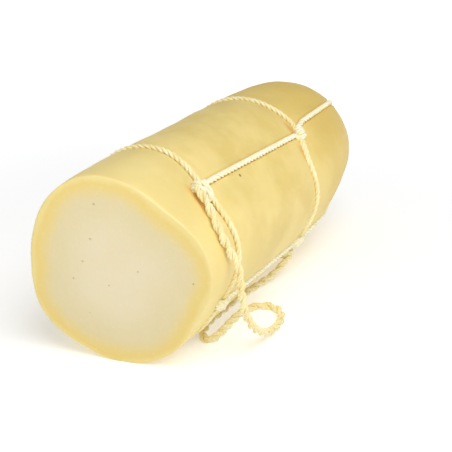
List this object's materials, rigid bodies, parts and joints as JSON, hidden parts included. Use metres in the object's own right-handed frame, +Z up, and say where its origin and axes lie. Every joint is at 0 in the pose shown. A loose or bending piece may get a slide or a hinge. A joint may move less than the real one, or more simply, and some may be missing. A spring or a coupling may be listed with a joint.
{
  "type": "provolone cheese",
  "caption": "Cut log of provolone lying on its side, flat pale face at one end and domed at the other, tied in a net of string with a hanging loop.",
  "frame": {"origin": "on the flat strip that the log rests on, in the cheese's middle plane, 117 mm along the log from the middle of the cut face", "axes": "+Z up, +Y along the log from its cut face towards its domed end, +X to the side with the hanging loop"},
  "size_m": [0.1159, 0.2895, 0.1166],
  "materials": {
    "cheese": "smooth, slightly waxy yellow rind with a pale cream cut face",
    "string": "laid cotton string"
  },
  "bodies": {
    "root": {"cheese": "cheese", "hoop_near": "string", "hoop_far": "string", "lengthwise_a": "string", "lengthwise_b": "string", "knot_0": "string", "knot_1": "string", "knot_2": "string", "knot_3": "string", "hanging_loop": "string"}
  },
  "joints": []
}
